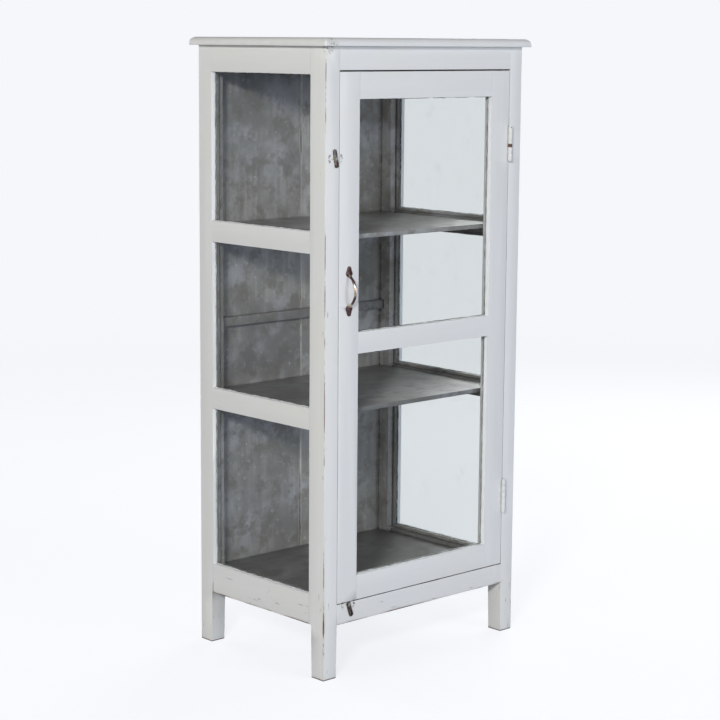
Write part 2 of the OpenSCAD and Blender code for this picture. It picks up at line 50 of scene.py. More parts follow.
import bmesh
import bpy
from mathutils import Matrix, Vector, noise

MM = 0.001
FAR = 1.0  # a distance in metres that counts as nowhere near

# The body's own corner points, in the frame's metres
FRONT_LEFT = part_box("front_left_post")[0]
REAR_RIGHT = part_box("rear_right_post")[1]
LEFT, FRONT = FRONT_LEFT.x, FRONT_LEFT.y
RIGHT, BACK = REAR_RIGHT.x, REAR_RIGHT.y
POST_TOP = REAR_RIGHT.z
GLASS_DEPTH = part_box("left_upper_pane")[0].x - LEFT
DOOR_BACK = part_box("door_lock_stile")[1].y
DOOR_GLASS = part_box("door_upper_pane")[0].y
DOOR_LEFT, DOOR_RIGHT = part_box("door_lock_stile")[0].x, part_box("door_hinge_stile")[1].x
DOOR_BOTTOM, DOOR_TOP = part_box("door_lock_stile")[0].z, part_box("door_lock_stile")[1].z
FLOOR_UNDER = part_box("floor_board")[0].z
BOARD_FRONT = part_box("back_board_1")[0].y
RAIL_UNDER, RAIL_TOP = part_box("front_bottom_rail")[0].z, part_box("front_bottom_rail")[1].z


def middle(name):
    low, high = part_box(name)
    return (low + high) / 2


# The hinges' centres, and each turn button's joint on the front face
HINGE_CENTRES = [middle(f"{end}_hinge_pin") for end in ("upper", "lower")]
BUTTON_PIVOTS = []
for turning in ("upper_button_turn", "lower_button_turn"):
    joint = next(j for j in frame["joints"] if j["name"] == turning)
    BUTTON_PIVOTS.append(Vector((joint["pos_m"][0], FRONT, joint["pos_m"][2])))

# Width of each pane's edge that its rebate hides
GLASS_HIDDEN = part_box("front_left_post")[1].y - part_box("left_upper_pane")[0].y
# Where the turn buttons scrape the paint, and the top corner that has been knocked
SCRAPE_RADIUS = 17.5 * MM
KNOCKED_CORNER = Vector((LEFT + 6 * MM, FRONT - 6 * MM, POST_TOP))

# How old wood strays from true: cross cuts along each piece, and how far a point may move
CUT_STEP = 30 * MM
BEND = 0.3 * MM
POST_BEND = 0.35 * MM
BEAD_BEND = 0.2 * MM
# Roundings of worn and painted edges
CORNER_ROUND = 1.3 * MM
RIM_ROUND = 1.2 * MM
RAIL_ROUND = 0.8 * MM
BEAD_ROUND = 1.5 * MM
FINE_ROUND = 0.35 * MM
# The bends come out the same in every run
noise.seed_set(7)

# Paint colours
WHITE_CLEAN = (0.69, 0.70, 0.70)
WHITE_DULL = (0.66, 0.67, 0.67)
WHITE_YELLOWED = (0.67, 0.673, 0.655)
WHITE_STREAK = (0.60, 0.61, 0.61)
# a painted highlight: the brighter white of the reveals round the panes
REVEAL_HIGHLIGHT_WHITE = (0.84, 0.87, 0.90)
GREY_LIGHT = (0.262, 0.258, 0.254)
GREY_MIDDLE = (0.160, 0.157, 0.152)
GREY_BLOOM = (0.285, 0.285, 0.305)
GREY_DARK = (0.185, 0.182, 0.179)
GREY_STREAK = (0.115, 0.112, 0.110)
GREY_BROWN = (0.135, 0.127, 0.117)
GREY_PALE = (0.36, 0.35, 0.34)
GREY_FLECK = (0.55, 0.55, 0.53)
# What shows through the paint or lies on it, and the painted shade in corners and in the door's gap
BARE_DARK = (0.060, 0.040, 0.036)
BARE_PINK = (0.24, 0.15, 0.125)
RUBBED_THIN = (0.42, 0.38, 0.34)
SEAM_DARK = (0.03, 0.03, 0.03)
SEAM_FILLER = (0.38, 0.37, 0.35)
SCRATCH_DARK = (0.11, 0.095, 0.09)
CRACK_DARK = (0.14, 0.12, 0.10)
CORNER_SHADE = (0.02, 0.02, 0.02)
GAP_SHADE = (0.03, 0.028, 0.028)
GAP_PAINT = (0.45, 0.43, 0.39)
# Glass, metal and beech
GLASS_TINT = (0.93, 0.94, 0.938)
LAPPED_PAINT = (0.70, 0.71, 0.71)
# painted shade for the dark line along the panes' edges
PANE_EDGE_SHADE = (0.05, 0.048, 0.05)
RUST_DARK = (0.08, 0.05, 0.04)
RUST_ORANGE = (0.24, 0.13, 0.08)
BUTTON_KHAKI = (0.21, 0.19, 0.13)
BUTTON_GREY = (0.10, 0.095, 0.09)
PAINT_SPECK = (0.60, 0.60, 0.57)
BOW_BRONZE = (0.12, 0.068, 0.068)
BOW_BRASS = (0.62, 0.51, 0.40)
BEECH_DARK = (0.42, 0.27, 0.15)
BEECH_LIGHT = (0.62, 0.44, 0.27)


# ---------- shader building ----------

def shader_node(tree, kind, inputs=None, **settings):
    """Adds a node, with its settings, and its inputs as links or plain values."""
    made = tree.nodes.new(kind)
    for name, value in settings.items():
        setattr(made, name, value)
    for name, value in (inputs or {}).items():
        socket = made.inputs[name]
        if isinstance(value, bpy.types.NodeSocket):
            tree.links.new(value, socket)
        else:
            socket.default_value = value
    return made


def maths(tree, operation, *values, clamp=False):
    made = shader_node(tree, "ShaderNodeMath", dict(enumerate(values)), operation=operation)
    made.use_clamp = clamp
    return made.outputs[0]


def times(tree, *values):
    """The product of the values."""
    product = values[0]
    for value in values[1:]:
        product = maths(tree, "MULTIPLY", product, value)
    return product


def most(tree, *values):
    """The greatest of the values."""
    greatest = values[0]
    for value in values[1:]:
        greatest = maths(tree, "MAXIMUM", greatest, value)
    return greatest


def one_less(tree, value):
    """One less the value."""
    return maths(tree, "SUBTRACT", 1.0, value)


def fade(tree, value, low, high):
    """0 at low, 1 at high, smooth between them."""
    made = shader_node(tree, "ShaderNodeMapRange", {"Value": value, "From Min": low, "From Max": high})
    made.interpolation_type = "SMOOTHSTEP"
    return made.outputs["Result"]


def blend_colours(tree, amount, first, second, how="MIX"):
    made = shader_node(tree, "ShaderNodeMix", data_type="RGBA", blend_type=how)
    for index, value in ((0, amount), (6, first), (7, second)):
        if isinstance(value, bpy.types.NodeSocket):
            tree.links.new(value, made.inputs[index])
        else:
            made.inputs[index].default_value = (*value, 1) if index else value
    return made.outputs[2]


def grain(tree, place, scale, detail=3.0, rough=0.55, stretch=(1, 1, 1)):
    """Noise between about 0 and 1 at that scale, stretched along an axis."""
    mapped = shader_node(tree, "ShaderNodeMapping", {"Vector": place, "Scale": stretch}).outputs[0]
    made = shader_node(
        tree, "ShaderNodeTexNoise", {"Vector": mapped, "Scale": scale, "Detail": detail, "Roughness": rough}
    )
    return made.outputs["Fac"]


def own_data(tree, name, what="Vector"):
    return shader_node(tree, "ShaderNodeAttribute", attribute_name=name).outputs[what]


def object_place(tree):
    return shader_node(tree, "ShaderNodeTexCoord").outputs["Object"]


def parts_of(tree, vector):
    return shader_node(tree, "ShaderNodeSeparateXYZ", {"Vector": vector}).outputs


def start_material(name):
    material = bpy.data.materials.new(name)
    material.use_nodes = True
    tree = material.node_tree
    tree.nodes.clear()
    surface = shader_node(tree, "ShaderNodeBsdfPrincipled")
    out = shader_node(tree, "ShaderNodeOutputMaterial", {"Surface": surface.outputs[0]})
    return material, tree, surface, out


def plug(tree, surface, **inputs):
    for name, value in inputs.items():
        socket = surface.inputs[name.replace("_", " ")]
        if isinstance(value, bpy.types.NodeSocket):
            tree.links.new(value, socket)
        else:
            socket.default_value = value


def bump(tree, height, depth, normal=None):
    inputs = {"Height": height, "Distance": depth, "Strength": 1.0}
    if normal:
        inputs["Normal"] = normal
    return shader_node(tree, "ShaderNodeBump", inputs).outputs[0]


# ---------- shared patterns ----------

def least(tree, vector):
    """The smallest of a vector's three parts."""
    x, y, z = parts_of(tree, vector)
    return maths(tree, "MINIMUM", maths(tree, "MINIMUM", x, y), z)


def edge_distance(tree):
    """Distance to the nearest outer edge of the piece's own block: the middle one of its three distances."""
    low = parts_of(tree, own_data(tree, "from_low"))
    high = parts_of(tree, own_data(tree, "from_high"))
    near = [maths(tree, "MINIMUM", low[i], high[i]) for i in range(3)]
    lesser = maths(tree, "MINIMUM", near[0], near[1])
    greater = maths(tree, "MAXIMUM", near[0], near[1])
    return maths(tree, "MAXIMUM", lesser, maths(tree, "MINIMUM", greater, near[2]))


def near_point(tree, place, centre, inner, outer):
    """1 within the inner distance of a point, 0 beyond the outer one."""
    gap = shader_node(tree, "ShaderNodeVectorMath", {0: place, 1: centre}, operation="DISTANCE")
    return one_less(tree, fade(tree, gap.outputs["Value"], inner, outer))


def within(tree, value, low, high, soft=0.4 * MM):
    """1 between two values."""
    above = fade(tree, value, low - soft, low + soft)
    return times(tree, above, one_less(tree, fade(tree, value, high - soft, high + soft)))


def brushwork(tree):
    """What the coats of paint and the marks in them share; the brush strokes run along the piece."""
    place = object_place(tree)
    stroke = own_data(tree, "stroke")
    return SimpleNamespace(
        place=place,
        stroke=stroke,
        fine=grain(tree, stroke, 1.0, 4.0, 0.6, (9, 900, 900)),
        broad=grain(tree, stroke, 1.0, 3.0, 0.6, (2.5, 45, 45)),
        patchy=grain(tree, stroke, 1.0, 3.0, 0.6, (7, 18, 18)),
        cloudy=grain(tree, place, 5.0, 4.0, 0.6),
        mottled=grain(tree, place, 22.0, 5.0, 0.65),
        ragged=grain(tree, place, 260.0, 4.0, 0.7),
        inward=least(tree, own_data(tree, "inward")),
        edge=edge_distance(tree),
        wear=own_data(tree, "wear", "Fac"),
    )


# ---------- paint ----------

def white_coat(tree, brush):
    """The outside white, with a brighter, bluer white in the reveals round the side panes as a painted
    highlight.
    """
    white = blend_colours(tree, fade(tree, brush.broad, 0.35, 0.75), WHITE_DULL, WHITE_CLEAN)
    white = blend_colours(tree, fade(tree, brush.cloudy, 0.45, 0.7), white, WHITE_YELLOWED)
    streaks = times(tree, fade(tree, brush.fine, 0.5, 0.8), 0.2)
    white = blend_colours(tree, streaks, white, WHITE_STREAK)
    # painted highlight on the reveals between the outer face and the glass
    reveal_highlight = within(tree, brush.inward, 0.8 * MM + FRONT - DOOR_GLASS, 0.5 * MM)
    return blend_colours(tree, reveal_highlight, white, REVEAL_HIGHLIGHT_WHITE)


def grey_coat(tree, brush):
    """The inside grey, clouded, mottled and flecked with white."""
    clouds = grain(tree, brush.place, 7.0, 5.0, 0.6)
    bloom = grain(tree, brush.place, 9.0, 4.0, 0.55)
    speckled = grain(tree, brush.place, 60.0, 5.0, 0.7)
    flecks = grain(tree, brush.place, 150.0, 2.0, 0.5)
    layers = (
        (fade(tree, clouds, 0.42, 0.60), 1.0, GREY_MIDDLE),
        (fade(tree, bloom, 0.48, 0.66), 0.75, GREY_BLOOM),
        (fade(tree, brush.mottled, 0.47, 0.64), 0.8, GREY_BROWN),
        (fade(tree, brush.fine, 0.48, 0.72), 0.35, GREY_STREAK),
        (fade(tree, speckled, 0.56, 0.72), 0.5, GREY_PALE),
        (fade(tree, flecks, 0.70, 0.74), fade(tree, brush.cloudy, 0.48, 0.6), GREY_FLECK),
    )
    grey = blend_colours(tree, fade(tree, brush.broad, 0.3, 0.72), GREY_DARK, GREY_LIGHT)
    for pattern, strength, colour in layers:
        grey = blend_colours(tree, times(tree, pattern, strength), grey, colour)
    return grey


def chipped_edges(tree, brush):
    """Where the paint is gone: chips along the edges, deepest where the piece is knocked most, and the feet."""
    reach = times(tree, fade(tree, brush.patchy, 0.40, 0.62), brush.wear, 3.2 * MM)
    reach = maths(tree, "MULTIPLY_ADD", maths(tree, "SUBTRACT", brush.ragged, 0.60), 3.0 * MM, reach)
    chips = fade(tree, maths(tree, "SUBTRACT", reach, brush.edge), 0.1 * MM, 0.6 * MM)
    foot_line = maths(tree, "MULTIPLY_ADD", brush.ragged, 2.6 * MM, 1.2 * MM)
    above_floor = parts_of(tree, brush.place)[2]
    worn_foot = fade(tree, maths(tree, "SUBTRACT", foot_line, above_floor), 0.0, 0.6 * MM)
    return most(tree, chips, worn_foot)


def under_the_paint(tree, brush, inside):
    """What the chips show: bare wood outside; inside, the dark seam between the back boards and its filler."""
    bare = blend_colours(tree, fade(tree, brush.ragged, 0.4, 0.6), BARE_DARK, BARE_PINK)
    at_back = fade(tree, parts_of(tree, brush.place)[1], BOARD_FRONT - 2 * MM, BOARD_FRONT)
    filled = fade(tree, grain(tree, brush.place, 1.0, 3.0, 0.6, (3, 3, 9)), 0.47, 0.56)
    seam = blend_colours(tree, times(tree, at_back, filled), SEAM_DARK, SEAM_FILLER)
    return blend_colours(tree, inside, bare, seam)


def scraped_ring(tree, place, pivot):
    """The broken marks that a turn button scrapes in the paint on both sides of its screw."""
    flat = shader_node(tree, "ShaderNodeVectorMath", {0: place, 1: pivot}, operation="SUBTRACT").outputs[0]
    radius = shader_node(tree, "ShaderNodeVectorMath", {0: flat}, operation="LENGTH").outputs["Value"]
    off = maths(tree, "ABSOLUTE", maths(tree, "SUBTRACT", radius, SCRAPE_RADIUS))
    ring = one_less(tree, fade(tree, off, 1.5 * MM, 4.0 * MM))
    height = maths(tree, "ABSOLUTE", parts_of(tree, flat)[2])
    level = one_less(tree, fade(tree, height, 6 * MM, 11 * MM))
    strokes = fade(tree, grain(tree, place, 1.0, 2.0, 0.6, (330, 300, 190)), 0.47, 0.54)
    return times(tree, ring, level, strokes)


def scratches(tree, brush):
    """Scratches along the grain, mostly low down, a knocked top corner, and the marks of the hardware."""
    long_ones = fade(tree, grain(tree, brush.stroke, 1.0, 3.0, 0.55, (24, 300, 300)), 0.69, 0.72)
    low_down = fade(tree, times(tree, brush.wear, brush.mottled), 0.22, 0.28)
    knocked = near_point(tree, brush.place, KNOCKED_CORNER, 8 * MM, 24 * MM)
    marks = [times(tree, long_ones, low_down), times(tree, knocked, fade(tree, brush.ragged, 0.50, 0.56))]
    for pivot in BUTTON_PIVOTS:
        marks.append(scraped_ring(tree, brush.place, pivot))
    for hinge in HINGE_CENTRES:
        beside = near_point(tree, brush.place, hinge, 28 * MM, 75 * MM)
        flakes = fade(tree, grain(tree, brush.place, 1.0, 3.0, 0.6, (260, 260, 60)), 0.60, 0.64)
        on_edge = one_less(tree, fade(tree, brush.edge, 0.8 * MM, 2 * MM))
        marks.append(times(tree, beside, flakes, on_edge))
    return most(tree, *marks)


def hairline_cracks(tree, brush):
    """Hairline cracks where a rail meets its post."""
    at_shoulder = one_less(tree, fade(tree, own_data(tree, "shoulder", "Fac"), 0.15 * MM, 0.6 * MM))
    broken = fade(tree, grain(tree, brush.place, 30.0, 3.0), 0.47, 0.62)
    return times(tree, at_shoulder, broken, maths(tree, "MULTIPLY_ADD", brush.wear, 0.7, 0.3))


def in_door_gap(tree, place):
    """1 on the faces that look into the gap round the shut door, from just behind the front."""
    x, y, z = parts_of(tree, place)
    beside, above, inner = 2.0 * MM, 3.5 * MM, 0.5 * MM
    whole = times(tree, within(tree, x, DOOR_LEFT - beside, DOOR_RIGHT + beside),
                  within(tree, z, DOOR_BOTTOM - beside, DOOR_TOP + above))
    door = times(tree, within(tree, x, DOOR_LEFT + inner, DOOR_RIGHT - inner),
                 within(tree, z, DOOR_BOTTOM + inner, DOOR_TOP - inner))
    depth = within(tree, y, FRONT + 1.4 * MM, DOOR_BACK + 1 * MM, 0.8 * MM)
    return times(tree, maths(tree, "SUBTRACT", whole, door), depth)


def settled_dirt(tree, brush, inside, colour):
    """Paints shade into the corners, and into the gap round the door where something stands close, so not when
    it is open.
    """
    corner = shader_node(tree, "ShaderNodeAmbientOcclusion", {"Distance": 8 * MM}, samples=6)
    closed_in = one_less(tree, corner.outputs["AO"])
    # painted shade: darker where the corner closes in, broken up by mottling, stronger inside the cabinet
    corner_shade = fade(tree, maths(tree, "MULTIPLY_ADD", brush.mottled, 0.25, closed_in), 0.42, 0.95)
    corner_shade = times(tree, corner_shade, maths(tree, "MULTIPLY_ADD", inside, 0.75, 0.15))
    colour = blend_colours(tree, corner_shade, colour, CORNER_SHADE)
    # the door's gap is painted dark as painted shade, but on the hinge side it is filled with old paint
    across = parts_of(tree, brush.place)[0]
    hinge_side = times(tree, fade(tree, across, DOOR_RIGHT - 6 * MM, DOOR_RIGHT - 1 * MM), 0.65)
    gap_colour = blend_colours(tree, hinge_side, GAP_SHADE, GAP_PAINT)
    in_gap = times(tree, in_door_gap(tree, brush.place), fade(tree, closed_in, 0.25, 0.55))
    return blend_colours(tree, in_gap, colour, gap_colour)


def painted_wood():
    """White paint outside the glass line and grey paint inside it, brushed along the piece and worn."""
    material, tree, surface, _ = start_material("brushed_paint")
    brush = brushwork(tree)

    # the inside paint starts at the painter's unsteady line
    unsteady = maths(tree, "MULTIPLY_ADD", grain(tree, brush.place, 90, 2.0), 3 * MM, -1.5 * MM)
    inside = fade(tree, maths(tree, "ADD", brush.inward, unsteady), -0.2 * MM, 0.2 * MM)
    colour = blend_colours(tree, inside, white_coat(tree, brush), grey_coat(tree, brush))

    # hands have rubbed the paint thin near the edges
    rub_reach = times(tree, brush.patchy, brush.wear, 14 * MM)
    rubbed = fade(tree, maths(tree, "SUBTRACT", rub_reach, brush.edge), 0.0, 6 * MM)
    colour = blend_colours(tree, times(tree, rubbed, 0.30), colour, RUBBED_THIN)

    chipped = chipped_edges(tree, brush)
    scratch = scratches(tree, brush)
    crack = hairline_cracks(tree, brush)
    colour = blend_colours(tree, chipped, colour, under_the_paint(tree, brush, inside))
    colour = blend_colours(tree, times(tree, scratch, 0.85), colour, SCRATCH_DARK)
    colour = blend_colours(tree, times(tree, crack, 0.8), colour, CRACK_DARK)
    colour = settled_dirt(tree, brush, inside, colour)

    # each piece's inside paint is made lighter or darker by its own factor, a painted light and shade for how
    # much light reaches it; it shows in the inside paint only
    tone = maths(tree, "SUBTRACT", own_data(tree, "tone", "Fac"), 1.0)
    tone = maths(tree, "MULTIPLY_ADD", tone, inside, 1.0)
    painted_light_levels = shader_node(tree, "ShaderNodeCombineXYZ", {"X": tone, "Y": tone, "Z": tone}).outputs[0]
    colour = blend_colours(tree, 1.0, colour, painted_light_levels, "MULTIPLY")

    rough = maths(tree, "MULTIPLY_ADD", brush.broad, 0.22, 0.36)
    rough = maths(tree, "SUBTRACT", rough, times(tree, inside, 0.10))
    rough = most(tree, rough, times(tree, chipped, 0.8))
    relief = maths(tree, "MULTIPLY_ADD", brush.fine, 0.30, times(tree, brush.broad, 0.6))
    relief = maths(tree, "SUBTRACT", relief, times(tree, chipped, 1.2))
    relief = maths(tree, "SUBTRACT", relief, times(tree, most(tree, crack, scratch), 1.2))
    plug(tree, surface, Base_Color=colour, Roughness=rough, Normal=bump(tree, relief, 0.30 * MM))
    surface.inputs["Specular IOR Level"].default_value = 0.5
    return material


# ---------- glass, metal and beech ----------

def mix_surfaces(tree, amount, first, second):
    return shader_node(tree, "ShaderNodeMixShader", {0: amount, 1: first, 2: second}).outputs[0]


def matt_surface(tree, colour):
    return shader_node(tree, "ShaderNodeBsdfDiffuse", {"Color": (*colour, 1)}).outputs[0]


def old_glass():
    """Thin window glass that mirrors more at a slant, with a little dust and paint lapped onto its edges."""
    material, tree, surface, out = start_material("window_glass")
    tree.nodes.remove(surface)
    place = object_place(tree)
    ripple = bump(tree, grain(tree, place, 9.0, 2.0), 1.2 * MM)
    clear = shader_node(tree, "ShaderNodeBsdfTransparent", {"Color": (*GLASS_TINT, 1)}).outputs[0]
    mirror = shader_node(tree, "ShaderNodeBsdfGlossy",
                         {"Color": (1, 1, 1, 1), "Roughness": 0.03, "Normal": ripple}).outputs[0]
    facing = shader_node(tree, "ShaderNodeLayerWeight", {"Normal": ripple}).outputs["Facing"]
    slant = maths(tree, "MULTIPLY_ADD", maths(tree, "POWER", facing, 5.0), 0.9, 0.004)
    glass = mix_surfaces(tree, slant, clear, mirror)

    dusty = times(tree, fade(tree, grain(tree, place, 16.0, 5.0, 0.7), 0.55, 0.85), 0.05)
    low = least(tree, own_data(tree, "from_low"))
    high = least(tree, own_data(tree, "from_high"))
    in_sight = maths(tree, "SUBTRACT", maths(tree, "MINIMUM", low, high), GLASS_HIDDEN)
    lap = maths(tree, "MULTIPLY_ADD", grain(tree, place, 75.0, 4.0, 0.65), 5.0 * MM, -1.9 * MM)
    lapped = fade(tree, maths(tree, "SUBTRACT", lap, in_sight), 0.0, 0.25 * MM)
    glass = mix_surfaces(tree, most(tree, dusty, lapped), glass, matt_surface(tree, LAPPED_PAINT))

    # a broken dark line painted along the edge of the lapped paint, a painted shade for the shadow where the
    # glass meets its rebate
    edge_shade = within(tree, maths(tree, "SUBTRACT", in_sight, lap), 0.1 * MM, 1.0 * MM, 0.3 * MM)
    edge_shade = times(tree, edge_shade, fade(tree, grain(tree, place, 30.0, 3.0), 0.36, 0.56), 0.8)
    glass = mix_surfaces(tree, edge_shade, glass, matt_surface(tree, PANE_EDGE_SHADE))
    tree.links.new(glass, out.inputs["Surface"])
    return material


def painted_metal():
    """Hinges painted over with the cabinet, rubbed to brown metal in a few spots."""
    material, tree, surface, _ = start_material("painted_metal")
    place = object_place(tree)
    specks = grain(tree, place, 120.0, 4.0, 0.65)
    upper_knuckle = HINGE_CENTRES[0] - Vector((0, 0, 4 * MM))
    bare = most(tree, fade(tree, specks, 0.64, 0.68), near_point(tree, place, upper_knuckle, 5 * MM, 7 * MM))
    paint = blend_colours(tree, fade(tree, grain(tree, place, 40.0), 0.4, 0.65), WHITE_STREAK, WHITE_DULL)
    rust = blend_colours(tree, fade(tree, grain(tree, place, 300.0), 0.4, 0.6), RUST_DARK, RUST_ORANGE)
    plug(tree, surface, Base_Color=blend_colours(tree, bare, paint, rust),
         Metallic=times(tree, bare, 0.7), Roughness=maths(tree, "MULTIPLY_ADD", bare, 0.15, 0.33),
         Normal=bump(tree, maths(tree, "SUBTRACT", specks, bare), 0.25 * MM))
    return material


def khaki_band(tree, place, colour):
    """Turns the upper button khaki round its screw and grey above it; it stays red brown below."""
    height = parts_of(tree, place)[2]
    screw = BUTTON_PIVOTS[0].z
    band = blend_colours(tree, fade(tree, height, screw + 5 * MM, screw + 9 * MM), BUTTON_KHAKI, BUTTON_GREY)
    banding = times(tree, fade(tree, height, screw - 9 * MM, screw - 3 * MM), 0.75)
    return blend_colours(tree, banding, colour, band)


def worn_metal(name, dark, light, polish, paint_amount, banded=False):
    """Old metal with rubbed high spots and specks of the paint round it."""
    material, tree, surface, _ = start_material(name)
    place = object_place(tree)
    patches = grain(tree, place, 160.0, 5.0, 0.65)
    specks = grain(tree, place, 420.0, 3.0, 0.6)
    colour = blend_colours(tree, fade(tree, patches, 0.42, 0.66), dark, light)
    if banded:
        colour = khaki_band(tree, place, colour)
    painted = times(tree, fade(tree, specks, 0.60, 0.66), paint_amount)
    colour = blend_colours(tree, painted, colour, PAINT_SPECK)
    metal = maths(tree, "SUBTRACT", 0.9, painted, clamp=True)
    rough = maths(tree, "MULTIPLY_ADD", patches, 0.3, polish)
    plug(tree, surface, Base_Color=colour, Metallic=metal, Roughness=rough,
         Normal=bump(tree, patches, 0.25 * MM))
    return material


def rubbed_bow():
    """Dark bronze that hands have polished to pale brass in the middle of the bow."""
    material, tree, surface, _ = start_material("rubbed_bow")
    patches = grain(tree, object_place(tree), 130.0, 4.0, 0.6)
    rubbed = maths(tree, "SUBTRACT", own_data(tree, "rubbed", "Fac"), 0.45)
    polish = maths(tree, "MULTIPLY_ADD", patches, 0.9, rubbed)
    colour = blend_colours(tree, fade(tree, polish, 0.18, 0.62), BOW_BRONZE, BOW_BRASS)
    rough = maths(tree, "MULTIPLY_ADD", fade(tree, polish, 0.1, 0.6), -0.16, 0.40)
    plug(tree, surface, Base_Color=colour, Metallic=0.92, Roughness=rough,
         Normal=bump(tree, patches, 0.15 * MM))
    return material


def bare_beech():
    """Straight-grained beech for the hidden dowels."""
    material, tree, surface, _ = start_material("bare_beech")
    lines = grain(tree, object_place(tree), 1.0, 3.0, 0.6, (900, 900, 20))
    colour = blend_colours(tree, lines, BEECH_DARK, BEECH_LIGHT)
    plug(tree, surface, Base_Color=colour, Roughness=0.6, Normal=bump(tree, lines, 0.1 * MM))
    return material


PAINT = painted_wood()
HINGE_PAINT = painted_metal()
GLASS = old_glass()
BRONZE = worn_metal("aged_bronze", (0.060, 0.034, 0.036), (0.20, 0.115, 0.095), 0.30, 0.0)
RUBBED_BOW = rubbed_bow()
BLACKENED = worn_metal("blackened_bronze", (0.035, 0.024, 0.025), (0.17, 0.10, 0.08), 0.30, 0.7, banded=True)
STEEL = worn_metal("dull_steel", (0.16, 0.15, 0.14), (0.42, 0.41, 0.39), 0.35, 0.7)
BEECH = bare_beech()


# ---------- shared modelling ----------

def finish_mesh(name, shape, material, body, replaces=(), smooth=True):
    """Makes the bmesh a piece that rides on its body and stands for its CAD nodes. Painted boards keep crisp
    flats between their rounded edges, and so do large faces."""
    mesh = bpy.data.meshes.new(name)
    shape.to_mesh(mesh)
    shape.free()
    piece = bpy.data.objects.new(name, mesh)
    bpy.context.scene.collection.objects.link(piece)
    mesh.materials.append(material)
    for polygon in mesh.polygons:
        flat = material == PAINT and max(abs(part) for part in polygon.normal) > 0.998
        polygon.use_smooth = smooth and not flat and polygon.area < 150 * MM * MM
    if smooth:
        mesh.set_sharp_from_angle(angle=math.radians(35))
    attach(piece, body)
    if replaces:
        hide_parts(*replaces)
    return piece


def copy_of(node):
    """The CAD node's mesh with its triangles joined into plain faces."""
    shape = bmesh.new()
    shape.from_mesh(frame["nodes"][node].data)
    bmesh.ops.remove_doubles(shape, verts=shape.verts, dist=0.005 * MM)
    bmesh.ops.dissolve_limit(shape, angle_limit=math.radians(0.5), verts=shape.verts, edges=shape.edges)
    return shape


def close_up(shape):
    """Turns the faces of closed shells outwards."""
    bmesh.ops.recalc_face_normals(shape, faces=shape.faces)


def ease_edges(shape, radius, axes="xyz", shortest=6 * MM, where=None):
    """Rounds the long outer edges that run along the given axes, where the test holds for their middle."""
    chosen = []
    for edge in shape.edges:
        if len(edge.link_faces) != 2 or edge.calc_length() < shortest:
            continue
        if edge.calc_face_angle_signed(0) < math.radians(40):
            continue
        if where and not where((edge.verts[0].co + edge.verts[1].co) / 2):
            continue
        run = (edge.verts[1].co - edge.verts[0].co).normalized()
        if any(abs(run["xyz".index(axis)]) > 0.99 for axis in axes):
            chosen.append(edge)
    bmesh.ops.bevel(shape, geom=chosen, offset=radius, segments=3, profile=0.5, affect="EDGES",
                    material=-1, clamp_overlap=False)


def on_body_corner(at):
    """Whether a place lies on one of the cabinet's own four upright corners."""
    return min(at.x - LEFT, RIGHT - at.x) < 2.5 * MM and min(at.y - FRONT, BACK - at.y) < 2.5 * MM


def on_door_rim(at):
    """Whether a place lies on the door's own outline, away from its hinges."""
    return min(at.x - DOOR_LEFT, at.z - DOOR_BOTTOM, DOOR_TOP - at.z) < 1 * MM


def soften_feet(shape):
    """Rounds the four edges round the foot of a leg."""
    edges = [e for e in shape.edges if max(e.verts[0].co.z, e.verts[1].co.z) < 0.1 * MM]
    bmesh.ops.bevel(shape, geom=edges, offset=2.6 * MM, segments=3, profile=0.5, affect="EDGES",
                    material=-1, clamp_overlap=True)


def cut_across(shape, axis):
    """Adds cross cuts along an axis, so that the piece can bend a little."""
    index = "xyz".index(axis)
    low = min(vertex.co[index] for vertex in shape.verts)
    high = max(vertex.co[index] for vertex in shape.verts)
    normal = Vector([float(i == index) for i in range(3)])
    for i in range(1, int((high - low) / CUT_STEP)):
        bmesh.ops.bisect_plane(shape, geom=shape.verts[:] + shape.edges[:] + shape.faces[:],
                               plane_co=normal * (low + i * CUT_STEP), plane_no=normal, dist=0.01 * MM)


def hand_planed(shape, amount, scale=6.0):
    """Moves each point a little, as hand-planed wood under thick paint is never quite straight. A point close
    to the piece's own box moves outwards less, and one on it not at all."""
    low = [min(vertex.co[i] for vertex in shape.verts) for i in range(3)]
    high = [max(vertex.co[i] for vertex in shape.verts) for i in range(3)]
    for vertex in shape.verts:
        drift = noise.noise_vector(vertex.co * scale) * amount
        for i in range(3):
            room = high[i] - vertex.co[i] if drift[i] > 0 else vertex.co[i] - low[i]
            vertex.co[i] += drift[i] * min(1.0, room / (2 * MM))


def store(piece, name, values):
    """Gives the piece an attribute with one number or vector for each of its points."""
    kind, slot = ("FLOAT_VECTOR", "vector") if isinstance(values[0], Vector) else ("FLOAT", "value")
    if name not in piece.data.attributes:
        piece.data.attributes.new(name, kind, "POINT")
    stored = piece.data.attributes[name].data
    for i, value in enumerate(values):
        setattr(stored[i], slot, value)


def write_paint_data(piece, low, high, inward, along, free_ends, tone=1.0):
    """Stores what the paint reads: distances to the block's faces, the depth inside the glass line, the stroke
    direction, the distance to a rail's shoulder, the wear, and the painted light level of the inside paint."""
    index = "xyz".index(along)
    others = [i for i in range(3) if i != index]
    drift = Vector([random.Random(piece.name + str(i)).uniform(0, 20) for i in range(3)])
    points = [vertex.co.copy() for vertex in piece.data.vertices]
    from_low = [at - low for at in points]
    from_high = [high - at for at in points]
    shoulders = [FAR] * len(points)
    if not free_ends:
        shoulders = [min(abs(near[index]), abs(far[index])) for near, far in zip(from_low, from_high)]
        for gap in from_low + from_high:
            gap[index] = FAR
    store(piece, "from_low", from_low)
    store(piece, "from_high", from_high)
    store(piece, "inward", [inward(at) for at in points])
    store(piece, "stroke", [Vector((at[index], at[others[0]], at[others[1]])) + drift for at in points])
    store(piece, "shoulder", shoulders)
    store(piece, "wear", [wear_at(at) for at in points])
    store(piece, "tone", [tone] * len(points))


